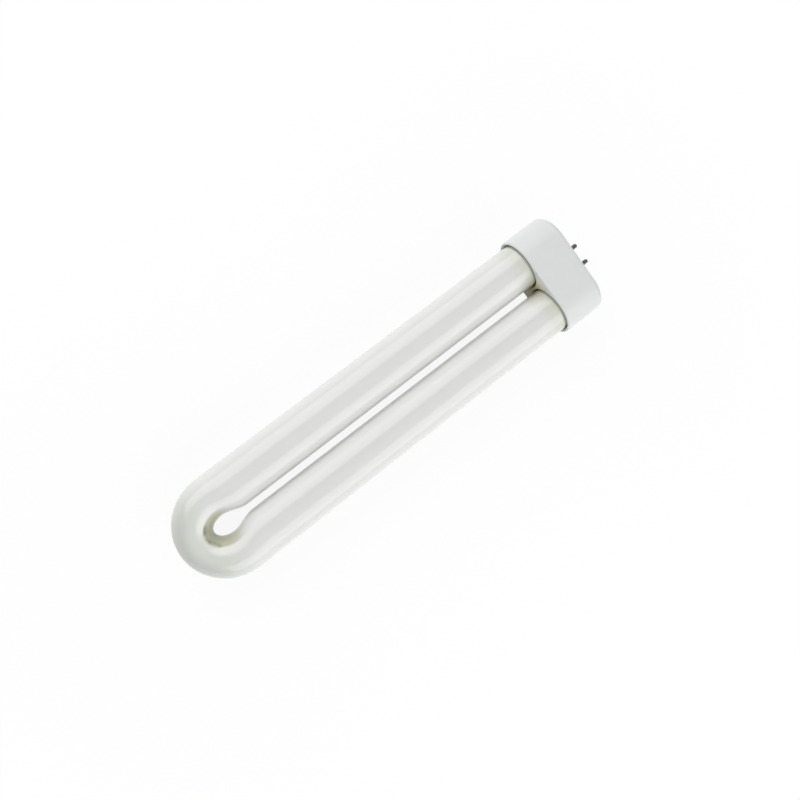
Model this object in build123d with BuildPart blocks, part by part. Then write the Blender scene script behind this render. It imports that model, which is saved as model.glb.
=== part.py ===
from build123d import *
import math
import os

# U-shaped lamp tube, lying flat: two straight legs of coated glass, a pinched bend with
# an open eye, and one moulded cap with four contact pins.
# The origin is the centre of the cap's end face. +X points out along the pins, Y runs
# across the two legs and +Z is up. Lengths are in millimetres.

# Glass tube
overall_length = 254.0  # bend tip to the cap's end face
tube_diameter = 25.4
leg_gap = 3.5  # clear slit between the two legs
eye_width = 10.0  # clear width of the eye, across the legs
eye_reach = 8.2  # from the bend's centre to the eye's far wall
neck_length = 13.0  # the slit widens to the eye over this length

# Sealed ends of the glass, inside the cap
shoulder_radius = 3.5  # rounded shoulder of the seal
flare_lip = 1.2  # flat ring between the shoulder and the flare
flare_depth = 8.0  # hollow of the stem's flare
exhaust_diameter = 4.0  # tipped-off exhaust tube
exhaust_overhang = 2.0  # how far it stands out of the flare
exhaust_tip_flat = 1.2  # flat left on the drawn-down tip

# Moulded cap
cap_length = 25.0
cap_wall = 1.8  # round the bores
end_wall = 2.5  # wall that carries the pins
cap_edge_radius = 3.0  # round the end face
cap_rim_chamfer = 0.5  # round the open end, outside
mouth_chamfer = 0.8  # lead-in at the mouths of the bores
wire_room = 8.5  # space between the glass and the end wall

# Capping cement
cement_thickness = 0.5
cement_setback = 2.5  # from the rim of the cap

# Contact pins
pin_diameter = 2.36
pin_length = 8.0  # beyond the end face, to the top of the domed tip
pin_pitch = 10.16  # between pins of the two legs
pin_row_pitch = 6.35  # between pins of one leg
root_diameter = 2.8  # thicker root, pressed into the end wall
collar_diameter = 3.8
collar_thickness = 0.8
tail_diameter = 2.0
tail_length = 1.2  # behind the collar, inside the cap
cup_depth = 4.0  # bored into the tail, for the lead wire

# Lead wires
wire_diameter = 0.6
wire_clearance = 0.15  # round the wire in the pin's cup
wire_margin = 1.0  # round the wire in the flare
wire_bend_radius = 3.0
wire_stub = 1.5  # from the pin's tail to the wire's corner

# Sections of the bend
bend_sections = 12
neck_sections = 6
lead_in_sections = 2  # straight ones, so that the bend leaves the legs without a kink

# Derived
tube_radius = tube_diameter / 2
leg_spacing = tube_diameter + leg_gap
leg_y = leg_spacing / 2
bend_radius = leg_y + tube_radius
bend_x = bend_radius - overall_length
section_step = neck_length / neck_sections
leg_start_x = bend_x + neck_length + lead_in_sections * section_step
bore_radius = tube_radius + cement_thickness
cap_radius = bore_radius + cap_wall
rim_x = -cap_length
glass_end_x = -(end_wall + wire_room)
flare_floor_x = glass_end_x - flare_depth
flare_mouth_radius = tube_radius - shoulder_radius - flare_lip
flare_throat_radius = pin_row_pitch / 2 + wire_diameter / 2 + wire_margin
exhaust_tip_taper = (exhaust_diameter - exhaust_tip_flat) / 2
pin_radius = pin_diameter / 2
root_radius = root_diameter / 2
collar_radius = collar_diameter / 2
tail_radius = tail_diameter / 2
cup_radius = wire_diameter / 2 + wire_clearance
collar_x = -(end_wall + collar_thickness)
pin_tail_x = collar_x - tail_length
cup_floor_x = pin_tail_x + cup_depth
leg_places = [(leg_y, 0), (-leg_y, 0)]
pin_places = [(side, level) for side in (1, -1) for level in (1, -1)]

os.makedirs("parts", exist_ok=True)


def neck_station(step):
    """Centre and half width of the glass at one section of the +Y leg, counted from the straight."""
    share = max(step - lead_in_sections, 0) / neck_sections
    ease = share * share * (3 - 2 * share)
    inner_wall_shift = (eye_width - leg_gap) / 2 * ease
    centre = Vector(leg_start_x - step * section_step, leg_y + inner_wall_shift / 2)
    return centre, tube_radius - inner_wall_shift / 2


def bend_station(step):
    """Centre and half width of the glass at one section of the bend, and the way across it."""
    angle = math.pi * (1 / 2 - step / bend_sections)
    inner = Vector(bend_x - eye_reach * math.cos(angle), eye_width / 2 * math.sin(angle))
    outer = Vector(bend_x - bend_radius * math.cos(angle), bend_radius * math.sin(angle))
    across = outer - inner
    return (inner + outer) / 2, across.length / 2, across.normalized()


# Sections of the pinched glass, in order: +Y leg, bend, -Y leg. Each one is upright and as
# high as the tube. Only its width changes.
stations = []
for step in range(lead_in_sections + neck_sections):
    centre, half_width = neck_station(step)
    stations.append((centre, half_width, Vector(0, 1)))
for step in range(bend_sections + 1):
    stations.append(bend_station(step))
for step in reversed(range(lead_in_sections + neck_sections)):
    centre, half_width = neck_station(step)
    stations.append((Vector(centre.X, -centre.Y), half_width, Vector(0, -1)))

# Sealed glass tube: the bend, two straight legs, and the rounded seals with their flares
with BuildPart() as glass_tube:
    for centre, half_width, across in stations:
        along = across.cross(Vector(0, 0, 1))
        with BuildSketch(Plane(centre, x_dir=(0, 0, 1), z_dir=along)):
            Ellipse(tube_radius, half_width)
    loft()
    with BuildSketch(Plane.YZ.offset(leg_start_x)):
        with Locations(*leg_places):
            Circle(tube_radius)
    extrude(amount=glass_end_x - leg_start_x)
    seals = glass_tube.edges().filter_by(GeomType.CIRCLE).group_by(Axis.X)[-1]
    fillet(seals, shoulder_radius)
    for y, z in leg_places:
        with Locations(Location((glass_end_x, y, z), (0, 90, 0))):
            Cone(
                flare_throat_radius,
                flare_mouth_radius,
                flare_depth,
                align=(Align.CENTER, Align.CENTER, Align.MAX),
                mode=Mode.SUBTRACT,
            )
    with BuildSketch(Plane.YZ.offset(flare_floor_x)):
        with Locations(*leg_places):
            Circle(exhaust_diameter / 2)
    extrude(amount=flare_depth + exhaust_overhang)
    exhaust_tips = glass_tube.edges().filter_by(GeomType.CIRCLE).group_by(Axis.X)[-1]
    chamfer(exhaust_tips, exhaust_tip_taper)
glass_tube.part.label = "glass_tube"
export_step(glass_tube.part, "parts/glass_tube.step")

# Cap: one moulding with a blind bore for each leg and four holes for the pins
with BuildPart() as base_cap:
    with BuildSketch(Plane.YZ.offset(rim_x)):
        SlotCenterToCenter(leg_spacing, 2 * cap_radius)
    extrude(amount=cap_length)
    fillet(base_cap.faces().sort_by(Axis.X)[-1].edges(), cap_edge_radius)
    chamfer(base_cap.faces().sort_by(Axis.X)[0].edges(), cap_rim_chamfer)
    with BuildSketch(Plane.YZ.offset(rim_x)):
        with Locations(*leg_places):
            Circle(bore_radius)
    extrude(amount=cap_length - end_wall, mode=Mode.SUBTRACT)
    mouths = base_cap.faces().sort_by(Axis.X)[0].inner_wires().edges()
    chamfer(mouths, mouth_chamfer)
    with BuildSketch(Plane.YZ):
        with GridLocations(pin_pitch, pin_row_pitch, 2, 2):
            Circle(root_radius)
    extrude(amount=-end_wall, mode=Mode.SUBTRACT)
base_cap.part.label = "base_cap"
export_step(base_cap.part, "parts/base_cap.step")

# Capping cement: a ring that fills the bore round each leg, set back from the rim
for number, (y, z) in enumerate(leg_places, start=1):
    with BuildPart() as cement_ring:
        with BuildSketch(Plane.YZ.offset(rim_x + cement_setback)):
            with Locations((y, z)):
                Circle(bore_radius)
                Circle(tube_radius, mode=Mode.SUBTRACT)
        extrude(amount=glass_end_x - shoulder_radius - rim_x - cement_setback)
    cement_ring.part.label = f"cement_ring_{number}"
    export_step(cement_ring.part, f"parts/cement_ring_{number}.step")

# Contact pins: turned, with a root and collar that seat in the end wall and a cup in the tail
for number, (side, level) in enumerate(pin_places, start=1):
    pin_centre = (0, side * pin_pitch / 2, level * pin_row_pitch / 2)
    with BuildPart() as contact_pin:
        with BuildSketch(Plane(pin_centre, x_dir=(1, 0, 0), z_dir=(0, -1, 0))):
            with BuildLine():
                profile = Polyline(
                    (pin_length, 0),
                    (cup_floor_x, 0),
                    (cup_floor_x, cup_radius),
                    (pin_tail_x, cup_radius),
                    (pin_tail_x, tail_radius),
                    (collar_x, tail_radius),
                    (collar_x, collar_radius),
                    (-end_wall, collar_radius),
                    (-end_wall, root_radius),
                    (0, root_radius),
                    (0, pin_radius),
                    (pin_length - pin_radius, pin_radius),
                )
                RadiusArc(profile @ 1, profile @ 0, pin_radius)
            make_face()
        revolve(axis=Axis(pin_centre, (1, 0, 0)))
    contact_pin.part.label = f"contact_pin_{number}"
    export_step(contact_pin.part, f"parts/contact_pin_{number}.step")

# Lead wires: from the floor of the flare, where each is cut flush, across to the pin's cup
for number, (side, level) in enumerate(pin_places, start=1):
    wire_z = level * pin_row_pitch / 2
    with BuildPart() as lead_wire:
        with BuildLine() as route:
            FilletPolyline(
                (flare_floor_x - wire_diameter, side * leg_y, wire_z),
                (pin_tail_x - wire_stub, side * pin_pitch / 2, wire_z),
                (cup_floor_x, side * pin_pitch / 2, wire_z),
                radius=wire_bend_radius,
            )
        with BuildSketch(Plane(route.wire() @ 0, z_dir=route.wire() % 0)):
            Circle(wire_diameter / 2)
        sweep()
        split(bisect_by=Plane.YZ.offset(flare_floor_x))
    lead_wire.part.label = f"lead_wire_{number}"
    export_step(lead_wire.part, f"parts/lead_wire_{number}.step")
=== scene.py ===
import math

import bmesh
import bpy
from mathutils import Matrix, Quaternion, Vector


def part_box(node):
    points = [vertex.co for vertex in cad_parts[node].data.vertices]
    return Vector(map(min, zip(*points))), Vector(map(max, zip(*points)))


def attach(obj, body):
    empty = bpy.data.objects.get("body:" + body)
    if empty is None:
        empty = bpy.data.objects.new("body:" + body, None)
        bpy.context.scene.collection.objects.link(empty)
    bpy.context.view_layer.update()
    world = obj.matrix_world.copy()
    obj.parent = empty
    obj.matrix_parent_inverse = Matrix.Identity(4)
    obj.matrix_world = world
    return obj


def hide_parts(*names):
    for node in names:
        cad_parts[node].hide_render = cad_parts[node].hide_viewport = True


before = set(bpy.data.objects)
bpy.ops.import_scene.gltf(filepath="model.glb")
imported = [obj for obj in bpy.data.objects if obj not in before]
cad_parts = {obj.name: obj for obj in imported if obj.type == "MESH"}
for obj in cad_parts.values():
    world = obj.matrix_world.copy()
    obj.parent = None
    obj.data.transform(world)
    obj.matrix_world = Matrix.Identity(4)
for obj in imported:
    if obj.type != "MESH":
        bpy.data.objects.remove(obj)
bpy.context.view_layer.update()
MM = 0.001


# Glass tube. Soda-lime tubing, coated inside with white phosphor powder, softened over a
# flame and bent once. The inside of the bend is pinched in, which leaves an open eye, and
# each end is sealed round a flared stem with a tipped-off exhaust tube.
EYE_WIDTH = 10.0 * MM
EYE_REACH = 8.2 * MM
NECK_LENGTH = 13.0 * MM
SHOULDER_RADIUS = 3.5 * MM
FLARE_LIP = 1.2 * MM
FLARE_DEPTH = 8.0 * MM
FLARE_THROAT_RADIUS = 4.475 * MM
EXHAUST_RADIUS = 2.0 * MM
EXHAUST_OVERHANG = 2.0 * MM
EXHAUST_TIP_RADIUS = 0.6 * MM
TUBE_SIDES = 96
BEND_STEPS = 96
NECK_STEPS = 24
LEG_STEPS = 24
SHOULDER_STEPS = 8
CREASE_DEGREES = 40.0

glass_low, glass_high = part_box("glass_tube")
tube_radius = glass_high.z
leg_y = glass_high.y - tube_radius
slit_half = leg_y - tube_radius
bend_radius = glass_high.y
bend_x = glass_low.x + bend_radius
neck_x = bend_x + NECK_LENGTH
exhaust_tip_x = glass_high.x
seal_x = exhaust_tip_x - EXHAUST_OVERHANG
shoulder_x = seal_x - SHOULDER_RADIUS
flare_floor_x = seal_x - FLARE_DEPTH
flare_mouth_radius = tube_radius - SHOULDER_RADIUS - FLARE_LIP
exhaust_taper = EXHAUST_RADIUS - EXHAUST_TIP_RADIUS


def seal_rings():
    """Rings of the sealed +Y end, from the exhaust tip: centre, half sizes, direction across."""
    profile = [
        (exhaust_tip_x, EXHAUST_TIP_RADIUS),
        (exhaust_tip_x - exhaust_taper, EXHAUST_RADIUS),
        (flare_floor_x, EXHAUST_RADIUS),
        (flare_floor_x, FLARE_THROAT_RADIUS),
        (seal_x, flare_mouth_radius),
    ]
    for step in range(SHOULDER_STEPS + 1):
        turn = math.pi / 2 * step / SHOULDER_STEPS
        profile.append(
            (
                shoulder_x + SHOULDER_RADIUS * math.cos(turn),
                tube_radius - SHOULDER_RADIUS * (1 - math.sin(turn)),
            )
        )
    return [(Vector((x, leg_y, 0)), radius, radius, Vector((0, 1, 0))) for x, radius in profile]


def leg_rings():
    """The straight +Y leg and the neck, where its inner wall swings out to the eye."""
    rings = []
    for step in range(1, LEG_STEPS + 1):
        x = shoulder_x + (neck_x - shoulder_x) * step / LEG_STEPS
        rings.append((Vector((x, leg_y, 0)), tube_radius, tube_radius, Vector((0, 1, 0))))
    for step in range(1, NECK_STEPS):
        share = step / NECK_STEPS
        shift = (EYE_WIDTH / 2 - slit_half) * share * share * (3 - 2 * share)
        centre = Vector((neck_x - NECK_LENGTH * share, leg_y + shift / 2, 0))
        rings.append((centre, tube_radius - shift / 2, tube_radius, Vector((0, 1, 0))))
    return rings


def bend_rings():
    """The bend, from +Y to -Y: as high as the tube, and as wide as from the eye to the outside."""
    rings = []
    for step in range(BEND_STEPS + 1):
        turn = math.pi * (1 / 2 - step / BEND_STEPS)
        inner = Vector((bend_x - EYE_REACH * math.cos(turn), EYE_WIDTH / 2 * math.sin(turn), 0))
        outer = Vector((bend_x - bend_radius * math.cos(turn), bend_radius * math.sin(turn), 0))
        across = outer - inner
        rings.append(((inner + outer) / 2, across.length / 2, tube_radius, across.normalized()))
    return rings


def mirrored(rings):
    """The same rings for the -Y leg, in the order in which the glass goes on from the bend."""
    flip = Vector((1, -1, 1))
    return [
        (centre * flip, half_width, half_height, across * flip)
        for centre, half_width, half_height, across in reversed(rings)
    ]


def skin(name, rings, sides):
    """A closed mesh through a row of upright elliptical rings."""
    mesh = bmesh.new()
    loops = []
    for centre, half_width, half_height, across in rings:
        loop = []
        for side in range(sides):
            turn = 2 * math.pi * side / sides
            rise = Vector((0, 0, half_height * math.sin(turn)))
            loop.append(mesh.verts.new(centre + across * half_width * math.cos(turn) + rise))
        loops.append(loop)
    for near, far in zip(loops, loops[1:]):
        for side in range(sides):
            after = (side + 1) % sides
            mesh.faces.new((near[side], near[after], far[after], far[side]))
    mesh.faces.new(list(reversed(loops[0])))
    mesh.faces.new(loops[-1])
    bmesh.ops.recalc_face_normals(mesh, faces=mesh.faces)
    data = bpy.data.meshes.new(name)
    mesh.to_mesh(data)
    mesh.free()
    piece = bpy.data.objects.new(name, data)
    bpy.context.scene.collection.objects.link(piece)
    return piece


def soften(piece, crease_degrees):
    """Smooth shading with creases where the faces meet at a sharper angle."""
    for polygon in piece.data.polygons:
        polygon.use_smooth = True
    piece.data.set_sharp_from_angle(angle=math.radians(crease_degrees))


def linear(hex_code):
    """Linear RGBA of an sRGB hex colour."""
    channels = [int(hex_code[place : place + 2], 16) / 255 for place in (1, 3, 5)]
    return [c / 12.92 if c <= 0.04045 else ((c + 0.055) / 1.055) ** 2.4 for c in channels] + [1.0]


def add_node(tree, kind, sockets=None, **settings):
    """Adds a shader node with its settings, and sets or links its sockets."""
    node = tree.nodes.new("ShaderNode" + kind)
    for name, value in settings.items():
        setattr(node, name, value)
    for name, value in (sockets or {}).items():
        if isinstance(value, bpy.types.NodeSocket):
            tree.links.new(value, node.inputs[name])
        else:
            node.inputs[name].default_value = value
    return node


def new_material(name):
    """A node material, with its node tree and its Principled shader."""
    material = bpy.data.materials.new(name)
    material.use_nodes = True
    return material, material.node_tree, material.node_tree.nodes["Principled BSDF"]


def dress(piece, material):
    """Gives a piece one material."""
    piece.data.materials.clear()
    piece.data.materials.append(material)


# Phosphor-coated glass: matt white powder seen through smooth clear glass, so it shades like
# chalk and mirrors the lights like glass. The powder thins out round the bend. Towards the cap
# the coat is darkened with painted shade, most on the side that faces the slit and in a line
# along the cap's rim. The pinched wall of the eye carries painted shade and a painted olive
# reflection, darkest in patches just under its lip, and a paler ring round the eye is a painted
# highlight on its lip.
PHOSPHOR_WHITE = "#e9e9e8"
PHOSPHOR_THIN = "#e6e6e4"
# The bend's coat, which stays in a ring round the eye as a painted highlight on its lip
BEND_COAT_AND_LIP_HIGHLIGHT = "#e3e5de"
PHOSPHOR_BEND = "#dcdfd8"
# Painted shade: the coat is darker and creamier towards the cap
PAINTED_CAP_SHADE = "#dbdcd0"
# Painted shade near the cap, on the side that faces the slit
PAINTED_SLIT_SHADE = "#cecbba"
# Painted shade in a dark line on the glass along the cap's rim
PAINTED_RIM_LINE_SHADE = "#b2b3a9"
# Painted shade with a painted olive reflection on the eye's pinched wall
PAINTED_EYE_SHADE = "#c4c4b0"
# Darker painted shade in patches under the eye's lip
PAINTED_CREASE_SHADE = "#8f9275"
GLASS_IOR = 1.52
GLASS_ROUGHNESS = 0.16
ROUGHNESS_SPREAD = 0.04
COAT_PATCH = 9.0 * MM
COAT_PATCH_DETAIL = 3.0
DRAW_LINE_LENGTH = 80.0 * MM
DRAW_LINE_WIDTH = 2.5 * MM
DRAW_LINE_DEPTH = 0.02 * MM
DRAW_LINE_DETAIL = 1.0
BEND_FADE = 5.0 * MM  # the coat starts to thin this far before the bend's centre
BEND_FULL = 18.0 * MM  # and is thinnest this far beyond it
RING_EDGE = 12.3 * MM  # the darker bend tint stops here, leaving a paler ring round the eye as a painted highlight on its lip
RING_FADE = 2.5 * MM
CAP_SHADE_REACH = 14.0 * MM  # length of each leg, from the cap's rim, that the painted shade darkens
SLIT_SHADE_EDGE = 8.0 * MM  # the painted shade is darkest on the side that faces the slit
RIM_LINE_WIDTH = 1.0 * MM  # painted shade in a dark line along the cap's rim
RIM_LINE_FADE = 0.6 * MM
LIP_HEIGHT = 9.0 * MM  # the painted shade on the eye's wall lies below its lip
LIP_FADE = 1.4 * MM
EYE_WALL_EDGE = 12.0 * MM
EYE_WALL_FADE = 2.0 * MM
NECK_START = 3.0 * MM  # towards the neck the painted shade fades out
NECK_END = 8.0 * MM
CREASE_FOOT = 6.5 * MM  # the painted shade is darkest in patches just under the lip, on the far side
CREASE_START = 6.5 * MM
CREASE_FADE = 2.5 * MM
CREASE_PATCH = 4.0 * MM
CREASE_PATCH_LOW = 0.3
CREASE_PATCH_HIGH = 0.65
cap_low, cap_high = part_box("base_cap")
cap_rim_x = cap_low.x

coated_glass, tree, shader = new_material("phosphor_coated_soda_lime_glass")
shader.inputs["IOR"].default_value = GLASS_IOR
place = add_node(tree, "TexCoord").outputs["Object"]
axes = add_node(tree, "SeparateXYZ", {"Vector": place})
along = axes.outputs["X"]
aside = add_node(tree, "Math", {0: axes.outputs["Y"]}, operation="ABSOLUTE").outputs[0]
height = add_node(tree, "Math", {0: axes.outputs["Z"]}, operation="ABSOLUTE").outputs[0]
plan = add_node(tree, "VectorMath", {0: place, 1: (1, 1, 0)}, operation="MULTIPLY")
to_eye = {0: plan.outputs[0], 1: (bend_x, 0, 0)}
from_eye = add_node(tree, "VectorMath", to_eye, operation="DISTANCE").outputs["Value"]

patches = {"Vector": place, "Scale": 1 / COAT_PATCH, "Detail": COAT_PATCH_DETAIL}
thin = add_node(tree, "TexNoise", patches).outputs["Fac"]
# Noise that breaks the painted shade under the eye's lip into patches
shade_patches = add_node(tree, "TexNoise", {"Vector": place, "Scale": 1 / CREASE_PATCH}).outputs["Fac"]

# Where each tint and painted shade lies: its share goes from 0 to 1 between two places
shares = {}
for name, value, none, full in (
    ("bend", along, bend_x + BEND_FADE, bend_x - BEND_FULL),
    ("off_ring", from_eye, RING_EDGE, RING_EDGE + RING_FADE),
    ("shade_by_cap", along, cap_rim_x - CAP_SHADE_REACH, cap_rim_x),
    ("by_slit", aside, SLIT_SHADE_EDGE, slit_half),
    ("corner", along, cap_rim_x - RIM_LINE_WIDTH, cap_rim_x - RIM_LINE_WIDTH + RIM_LINE_FADE),
    ("below_lip", height, LIP_HEIGHT + LIP_FADE, LIP_HEIGHT),
    ("by_eye", from_eye, EYE_WALL_EDGE + EYE_WALL_FADE, EYE_WALL_EDGE),
    ("off_neck", along, bend_x + NECK_END, bend_x - NECK_START),
    ("under_lip", height, CREASE_FOOT, LIP_HEIGHT),
    ("far_side", along, bend_x - CREASE_START, bend_x - CREASE_START - CREASE_FADE),
    ("in_patches", shade_patches, CREASE_PATCH_LOW, CREASE_PATCH_HIGH),
):
    span = {"Value": value, "From Min": none, "From Max": full}
    ramp = add_node(tree, "MapRange", span, interpolation_type="SMOOTHSTEP")
    shares[name] = ramp.outputs["Result"]
for name, one, other in (
    ("bend_top", "bend", "off_ring"),
    ("shade_by_slit", "shade_by_cap", "by_slit"),
    ("eye_rim", "below_lip", "by_eye"),
    ("eye_wall", "eye_rim", "off_neck"),
    ("crease_rim", "under_lip", "far_side"),
    ("crease_wall", "crease_rim", "eye_wall"),
    ("crease", "crease_wall", "in_patches"),
):
    pair = {0: shares[one], 1: shares[other]}
    shares[name] = add_node(tree, "Math", pair, operation="MULTIPLY").outputs[0]

# The tints and painted shades lie over one another, from the plain coat up
colour = linear(PHOSPHOR_WHITE)
for share, tint in (
    (thin, PHOSPHOR_THIN),
    (shares["bend"], BEND_COAT_AND_LIP_HIGHLIGHT),
    (shares["bend_top"], PHOSPHOR_BEND),
    (shares["shade_by_cap"], PAINTED_CAP_SHADE),
    (shares["shade_by_slit"], PAINTED_SLIT_SHADE),
    (shares["corner"], PAINTED_RIM_LINE_SHADE),
    (shares["eye_wall"], PAINTED_EYE_SHADE),
    (shares["crease"], PAINTED_CREASE_SHADE),
):
    layers = {"Factor": share, "A": colour, "B": linear(tint)}
    colour = add_node(tree, "Mix", layers, data_type="RGBA").outputs["Result"]
tree.links.new(colour, shader.inputs["Base Color"])

# Handling leaves the glass a little duller in places
dullness = {
    "Value": thin,
    "To Min": GLASS_ROUGHNESS - ROUGHNESS_SPREAD,
    "To Max": GLASS_ROUGHNESS + ROUGHNESS_SPREAD,
}
tree.links.new(add_node(tree, "MapRange", dullness).outputs["Result"], shader.inputs["Roughness"])

# Faint waves along the tube, from drawing it
stretch = (1 / DRAW_LINE_LENGTH, 1 / DRAW_LINE_WIDTH, 1 / DRAW_LINE_WIDTH)
drawn = add_node(tree, "Mapping", {"Vector": place, "Scale": stretch}).outputs["Vector"]
lines = {"Vector": drawn, "Scale": 1.0, "Detail": DRAW_LINE_DETAIL}
waves = add_node(tree, "TexNoise", lines).outputs["Fac"]
bump = add_node(tree, "Bump", {"Distance": DRAW_LINE_DEPTH, "Height": waves})
tree.links.new(bump.outputs["Normal"], shader.inputs["Normal"])

half_rings = seal_rings() + leg_rings()
glass = skin("glass_u_tube", half_rings + bend_rings() + mirrored(half_rings), TUBE_SIDES)
soften(glass, CREASE_DEGREES)
dress(glass, coated_glass)
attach(glass, "root")
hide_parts("glass_tube")


# Capping cement. A ring of baked resin cement round each leg, poured into the cap's bore and
# set back from its rim. It is matt, grainy and the colour of biscuit.
CEMENT_BUFF = "#bdb08f"
CEMENT_SCORCHED = "#a89670"
CEMENT_ROUGHNESS = 0.9
SCORCH_PATCH = 4.0 * MM
SCORCH_DETAIL = 3.0
CEMENT_GRAIN = 0.6 * MM
GRAIN_DETAIL = 4.0
GRAIN_DEPTH = 0.05 * MM

cement, tree, shader = new_material("resin_capping_cement")
shader.inputs["Roughness"].default_value = CEMENT_ROUGHNESS
place = add_node(tree, "TexCoord").outputs["Object"]
patches = {"Vector": place, "Scale": 1 / SCORCH_PATCH, "Detail": SCORCH_DETAIL}
scorch = add_node(tree, "TexNoise", patches).outputs["Fac"]
layers = {"Factor": scorch, "A": linear(CEMENT_BUFF), "B": linear(CEMENT_SCORCHED)}
baked = add_node(tree, "Mix", layers, data_type="RGBA")
tree.links.new(baked.outputs["Result"], shader.inputs["Base Color"])
grains = {"Vector": place, "Scale": 1 / CEMENT_GRAIN, "Detail": GRAIN_DETAIL}
grit = add_node(tree, "TexNoise", grains).outputs["Fac"]
bump = add_node(tree, "Bump", {"Distance": GRAIN_DEPTH, "Height": grit})
tree.links.new(bump.outputs["Normal"], shader.inputs["Normal"])
for number in (1, 2):
    dress(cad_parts[f"cement_ring_{number}"], cement)


# Lead wires. Nickel-plated iron wire, 0.6 mm thick, from the glass stems into the pins. It is
# bright, with marks along it from drawing, which are coarser here than real ones, so that they
# show.
WIRE_NICKEL = "#bdb9b1"
WIRE_DULLED = "#9d9990"
WIRE_ROUGHNESS = 0.35
DIE_MARK_LENGTH = 6.0 * MM
DIE_MARK_WIDTH = 0.15 * MM
DIE_MARK_DEPTH = 0.005 * MM

wire_metal, tree, shader = new_material("nickel_plated_wire")
shader.inputs["Metallic"].default_value = 1.0
shader.inputs["Roughness"].default_value = WIRE_ROUGHNESS
place = add_node(tree, "TexCoord").outputs["Object"]
stretch = (1 / DIE_MARK_LENGTH, 1 / DIE_MARK_WIDTH, 1 / DIE_MARK_WIDTH)
drawn = add_node(tree, "Mapping", {"Vector": place, "Scale": stretch}).outputs["Vector"]
marks = add_node(tree, "TexNoise", {"Vector": drawn, "Scale": 1.0}).outputs["Fac"]
layers = {"Factor": marks, "A": linear(WIRE_NICKEL), "B": linear(WIRE_DULLED)}
plating = add_node(tree, "Mix", layers, data_type="RGBA")
tree.links.new(plating.outputs["Result"], shader.inputs["Base Color"])
bump = add_node(tree, "Bump", {"Distance": DIE_MARK_DEPTH, "Height": marks})
tree.links.new(bump.outputs["Normal"], shader.inputs["Normal"])
for number in (1, 2, 3, 4):
    dress(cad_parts[f"lead_wire_{number}"], wire_metal)


# Contact pins. Turned brass with dull nickel plating, pressed through the cap's end wall. Oxide
# has darkened the plating unevenly, and it shows rings from the lathe, which are coarser here
# than real ones, so that they show.
PIN_NICKEL = "#7d7b76"
PIN_OXIDE = "#55534e"
PIN_ROUGHNESS = 0.38
DULLED_ROUGHNESS = 0.5
OXIDE_PATCH = 1.5 * MM
OXIDE_DETAIL = 4.0
LATHE_RING = 0.4 * MM
LATHE_RING_REACH = 3.0 * MM
LATHE_RING_DEPTH = 0.012 * MM

pin_metal, tree, shader = new_material("nickel_plated_brass")
shader.inputs["Metallic"].default_value = 1.0
place = add_node(tree, "TexCoord").outputs["Object"]
patches = {"Vector": place, "Scale": 1 / OXIDE_PATCH, "Detail": OXIDE_DETAIL}
oxide = add_node(tree, "TexNoise", patches).outputs["Fac"]
layers = {"Factor": oxide, "A": linear(PIN_NICKEL), "B": linear(PIN_OXIDE)}
plating = add_node(tree, "Mix", layers, data_type="RGBA")
tree.links.new(plating.outputs["Result"], shader.inputs["Base Color"])
dullness = {"Value": oxide, "To Min": PIN_ROUGHNESS, "To Max": DULLED_ROUGHNESS}
tree.links.new(add_node(tree, "MapRange", dullness).outputs["Result"], shader.inputs["Roughness"])
stretch = (1 / LATHE_RING, 1 / LATHE_RING_REACH, 1 / LATHE_RING_REACH)
turned = add_node(tree, "Mapping", {"Vector": place, "Scale": stretch}).outputs["Vector"]
lathe = add_node(tree, "TexNoise", {"Vector": turned, "Scale": 1.0}).outputs["Fac"]
bump = add_node(tree, "Bump", {"Distance": LATHE_RING_DEPTH, "Height": lathe})
tree.links.new(bump.outputs["Normal"], shader.inputs["Normal"])
for number in (1, 2, 3, 4):
    dress(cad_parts[f"contact_pin_{number}"], pin_metal)


# Cap. One injection moulding of white PBT, cemented over both ends of the tube. The mould was
# spark-eroded, which leaves a satin sheen and an even texture, drawn coarser here than it is.
# The rim between the legs is painted olive, as painted shade where the slit meets the cap.
CAP_WHITE = "#e6e8e7"
CAP_CLOUDED = "#e3e5e4"
WEB_SHADE_OLIVE = "#dbd39c"
CAP_ROUGHNESS = 0.36
CAP_WORN_ROUGHNESS = 0.46
CLOUD_PATCH = 8.0 * MM
CLOUD_DETAIL = 3.0
MOULD_TEXTURE = 0.8 * MM
TEXTURE_DEPTH = 0.02 * MM
WEB_SHADE_REACH = 1.0 * MM  # from the rim into the cap
WEB_SHADE_FADE = 0.6 * MM
WEB_SHADE_EDGE = 6.0 * MM  # to each side of the middle
WEB_SHADE_CORE = 3.0 * MM
WEB_SHADE_TOP = 14.0 * MM  # heights between which it lies
WEB_SHADE_DEEP = 3.0 * MM
WEB_SHADE_LOW = -14.0 * MM
WEB_SHADE_FOOT = -16.0 * MM

cap_plastic, tree, shader = new_material("moulded_white_pbt")
place = add_node(tree, "TexCoord").outputs["Object"]
axes = add_node(tree, "SeparateXYZ", {"Vector": place})
aside = add_node(tree, "Math", {0: axes.outputs["Y"]}, operation="ABSOLUTE").outputs[0]
patches = {"Vector": place, "Scale": 1 / CLOUD_PATCH, "Detail": CLOUD_DETAIL}
clouds = add_node(tree, "TexNoise", patches).outputs["Fac"]

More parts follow.
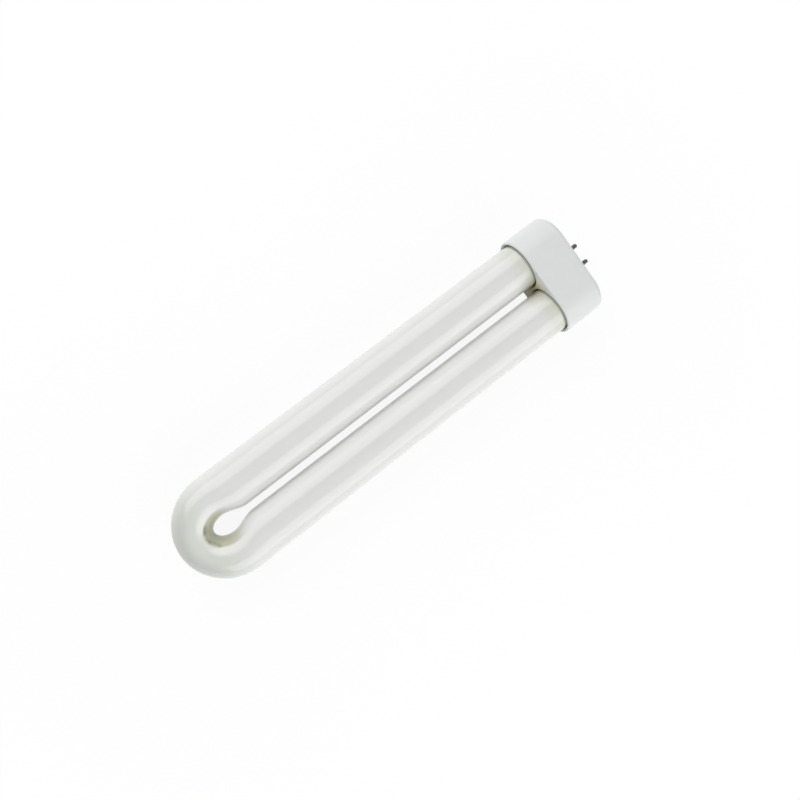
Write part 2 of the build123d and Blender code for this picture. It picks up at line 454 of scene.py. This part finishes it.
# The painted shade's share: each limit passes on what the one before it leaves
painted_shade = 1.0
for value, none, full in (
    (axes.outputs["X"], cap_rim_x + WEB_SHADE_REACH, cap_rim_x + WEB_SHADE_REACH - WEB_SHADE_FADE),
    (aside, WEB_SHADE_EDGE, WEB_SHADE_CORE),
    (axes.outputs["Z"], WEB_SHADE_TOP, WEB_SHADE_DEEP),
    (axes.outputs["Z"], WEB_SHADE_FOOT, WEB_SHADE_LOW),
):
    span = {"Value": value, "From Min": none, "From Max": full, "To Max": painted_shade}
    painted_shade = add_node(tree, "MapRange", span, interpolation_type="SMOOTHSTEP").outputs["Result"]
colour = linear(CAP_WHITE)
for share, tint in ((clouds, CAP_CLOUDED), (painted_shade, WEB_SHADE_OLIVE)):
    layers = {"Factor": share, "A": colour, "B": linear(tint)}
    colour = add_node(tree, "Mix", layers, data_type="RGBA").outputs["Result"]
tree.links.new(colour, shader.inputs["Base Color"])
dullness = {"Value": clouds, "To Min": CAP_ROUGHNESS, "To Max": CAP_WORN_ROUGHNESS}
tree.links.new(add_node(tree, "MapRange", dullness).outputs["Result"], shader.inputs["Roughness"])
texture = add_node(tree, "TexNoise", {"Vector": place, "Scale": 1 / MOULD_TEXTURE}).outputs["Fac"]
bump = add_node(tree, "Bump", {"Distance": TEXTURE_DEPTH, "Height": texture})
tree.links.new(bump.outputs["Normal"], shader.inputs["Normal"])
dress(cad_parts["base_cap"], cap_plastic)


# Floor. A pale matt paper sweep that the lamp lies on, touched by the flat side of the cap and
# the underside of the bend. It is white to the eye, and close to the lamp it keeps a soft
# shadow. Its sizes are in metres.
FLOOR_SPAN = 6.0
FLOOR_PALE = "#d2d2d2"
FLOOR_WHITE = "#ffffff"
FLOOR_ROUGHNESS = 0.9
SHADOW_SHARE = 0.08
SHADOW_EDGE = 0.16
SHADOW_FADE = 0.14

bend_foot_x = bend_x - (EYE_REACH + bend_radius) / 2
floor_slope = (glass_low.z - cap_low.z) / (cap_low.x - bend_foot_x)
corners = []
for x, y in ((-1, -1), (1, -1), (1, 1), (-1, 1)):
    reach = x * FLOOR_SPAN / 2
    corners.append((cap_low.x + reach, y * FLOOR_SPAN / 2, cap_low.z - floor_slope * reach))
floor_mesh = bpy.data.meshes.new("floor")
floor_mesh.from_pydata(corners, [], [(0, 1, 2, 3)])
floor = bpy.data.objects.new("floor", floor_mesh)
bpy.context.scene.collection.objects.link(floor)

floor_paper, tree, shader = new_material("matt_white_paper")
shader.inputs["Roughness"].default_value = FLOOR_ROUGHNESS
place = add_node(tree, "TexCoord").outputs["Object"]
lamp_middle = ((glass_low.x + cap_high.x) / 2, 0, 0)
to_lamp = {0: place, 1: lamp_middle}
from_lamp = add_node(tree, "VectorMath", to_lamp, operation="DISTANCE").outputs["Value"]
rays = add_node(tree, "LightPath").outputs
shown = rays["Is Camera Ray"]
for ray in ("Is Glossy Ray", "Is Transmission Ray"):
    shown = add_node(tree, "Math", {0: shown, 1: rays[ray]}, operation="MAXIMUM").outputs[0]
layers = {"Factor": shown, "A": linear(FLOOR_PALE), "B": linear(FLOOR_WHITE)}
paper = add_node(tree, "Mix", layers, data_type="RGBA")
tree.links.new(paper.outputs["Result"], shader.inputs["Base Color"])
span = {
    "Value": from_lamp,
    "From Min": SHADOW_EDGE,
    "From Max": SHADOW_EDGE + SHADOW_FADE,
    "To Min": 1 - SHADOW_SHARE,
    "To Max": 1.0,
}
white = add_node(tree, "MapRange", span, interpolation_type="SMOOTHSTEP").outputs["Result"]
share = add_node(tree, "Math", {0: shown, 1: white}, operation="MULTIPLY").outputs[0]
glow = add_node(tree, "Emission", {"Color": linear(FLOOR_WHITE), "Strength": 1.0})
blend = add_node(tree, "MixShader", {0: share, 1: shader.outputs[0], 2: glow.outputs[0]})
tree.links.new(blend.outputs[0], tree.nodes["Material Output"].inputs["Surface"])
dress(floor, floor_paper)


# Studio. A pale tent, darker overhead where the camera looks in and left open beyond the bend,
# and a long soft box on each side of the lamp. The heights and the opening are parts of the unit
# vector to the tent, and sizes are in metres.
TENT_WHITE = "#ffffff"
TENT_SIDE = 0.52
TENT_TOP = 0.15
TENT_SIDE_HEIGHT = 0.35
TENT_TOP_HEIGHT = 0.6
TENT_OPEN_SHARE = 0.5
TENT_OPEN_START = 0.0
TENT_OPEN_END = -0.7
BOX_LENGTH = 1.0
BOX_HEIGHT = 0.52
BOX_DISTANCE = 0.6
LEFT_ELEVATION = 38.0
RIGHT_ELEVATION = 30.0
BOX_BRIGHTNESS = 2.2

world = bpy.data.worlds.new("tent")
bpy.context.scene.world = world
world.use_nodes = True
tree = world.node_tree
heading = add_node(tree, "TexCoord").outputs["Generated"]
heading_axes = add_node(tree, "SeparateXYZ", {"Vector": heading}).outputs
panels = []
for value, low, high, at_low, at_high in (
    (heading_axes["Z"], TENT_SIDE_HEIGHT, TENT_TOP_HEIGHT, TENT_SIDE, TENT_TOP),
    (heading_axes["X"], TENT_OPEN_END, TENT_OPEN_START, TENT_OPEN_SHARE, 1.0),
):
    span = {"Value": value, "From Min": low, "From Max": high, "To Min": at_low, "To Max": at_high}
    panel = add_node(tree, "MapRange", span, interpolation_type="SMOOTHSTEP")
    panels.append(panel.outputs["Result"])
tent_light = add_node(tree, "Math", dict(enumerate(panels)), operation="MULTIPLY").outputs[0]
camera_ray = add_node(tree, "LightPath").outputs["Is Camera Ray"]
strength = add_node(tree, "Mix", {"Factor": camera_ray, "A": tent_light, "B": 1.0})
tree.links.new(strength.outputs["Result"], tree.nodes["Background"].inputs["Strength"])
tree.nodes["Background"].inputs["Color"].default_value = linear(TENT_WHITE)

lamp_centre = Vector(lamp_middle)
for name, side, elevation in (
    ("soft_box_left", 1, LEFT_ELEVATION),
    ("soft_box_right", -1, RIGHT_ELEVATION),
):
    light = bpy.data.lights.new(name, "AREA")
    light.shape = "RECTANGLE"
    light.size = BOX_LENGTH
    light.size_y = BOX_HEIGHT
    light.energy = BOX_BRIGHTNESS * math.pi * BOX_LENGTH * BOX_HEIGHT
    box = bpy.data.objects.new(name, light)
    tilt = math.radians(elevation)
    box.location = lamp_centre + BOX_DISTANCE * Vector((0, side * math.cos(tilt), math.sin(tilt)))
    box.rotation_euler = (lamp_centre - box.location).to_track_quat("-Z", "Y").to_euler()
    box.visible_camera = False
    bpy.context.scene.collection.objects.link(box)


# Camera. It stands above the lamp, a little towards the bend, and is turned so that the cap
# points to the upper right.
CAMERA_PLACE = Vector((-167.15, 24.61, 332.84)) * MM
CAMERA_AIM = Vector((-120.32, -3.64, 0.0)) * MM
CAMERA_ROLL = 83.88
CAMERA_LENS = 29.03
CAMERA_NEAR = 10.0 * MM

camera = bpy.data.objects.new("camera", bpy.data.cameras.new("camera"))
camera.data.lens = CAMERA_LENS
camera.data.clip_start = CAMERA_NEAR
camera.location = CAMERA_PLACE
aim = (CAMERA_AIM - CAMERA_PLACE).to_track_quat("-Z", "Y")
camera.rotation_euler = (aim @ Quaternion((0, 0, 1), math.radians(CAMERA_ROLL))).to_euler()
bpy.context.scene.collection.objects.link(camera)
bpy.context.scene.camera = camera
bpy.context.scene.view_settings.view_transform = "Standard"
